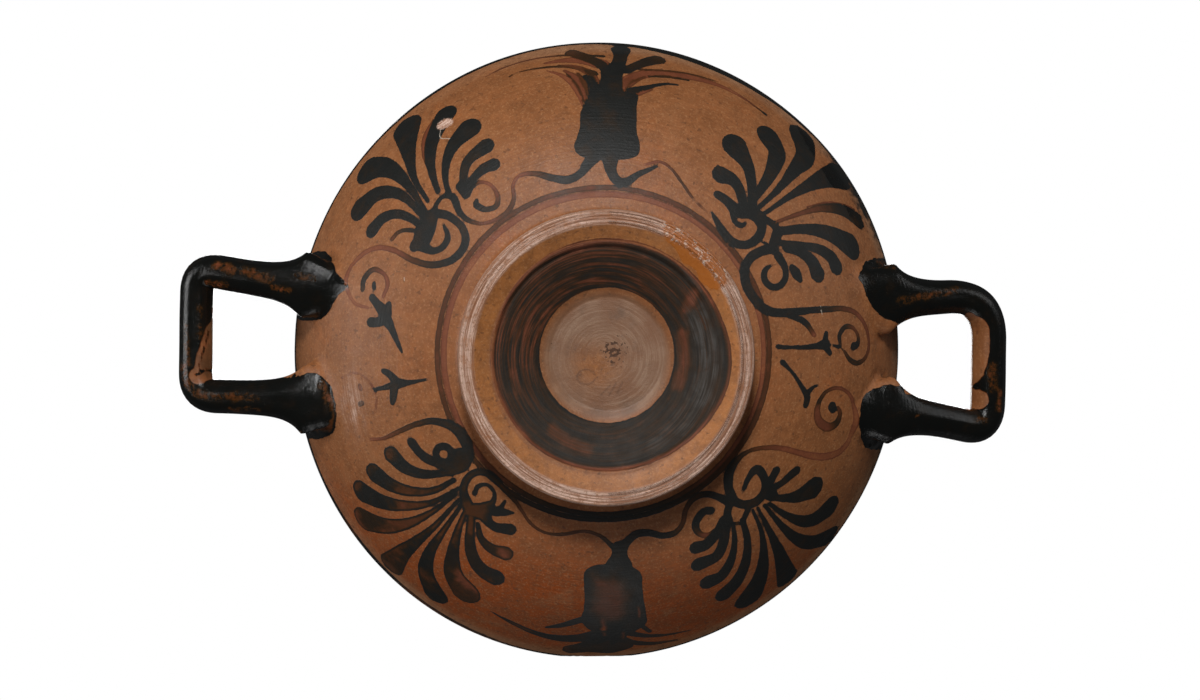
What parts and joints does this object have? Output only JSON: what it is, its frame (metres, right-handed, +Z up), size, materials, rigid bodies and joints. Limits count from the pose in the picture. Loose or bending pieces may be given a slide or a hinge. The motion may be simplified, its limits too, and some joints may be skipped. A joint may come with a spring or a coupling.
{
  "type": "kylix cup",
  "caption": "Low-footed drinking cup with a wide open bowl, a hollow ring foot and upswept loop handles on opposite sides, painted with palmettes and lotuses in dark slip on red clay.",
  "frame": {"origin": "centre of the circle the foot stands on, at the supporting surface", "axes": "+Z up along the cup's axis; +X towards one handle and -X towards the other"},
  "size_m": [0.2547, 0.19, 0.064],
  "materials": {
    "fired_clay": "burnished clay with glossy black slip"
  },
  "bodies": {
    "root": {"kylix": "fired_clay"}
  },
  "joints": []
}
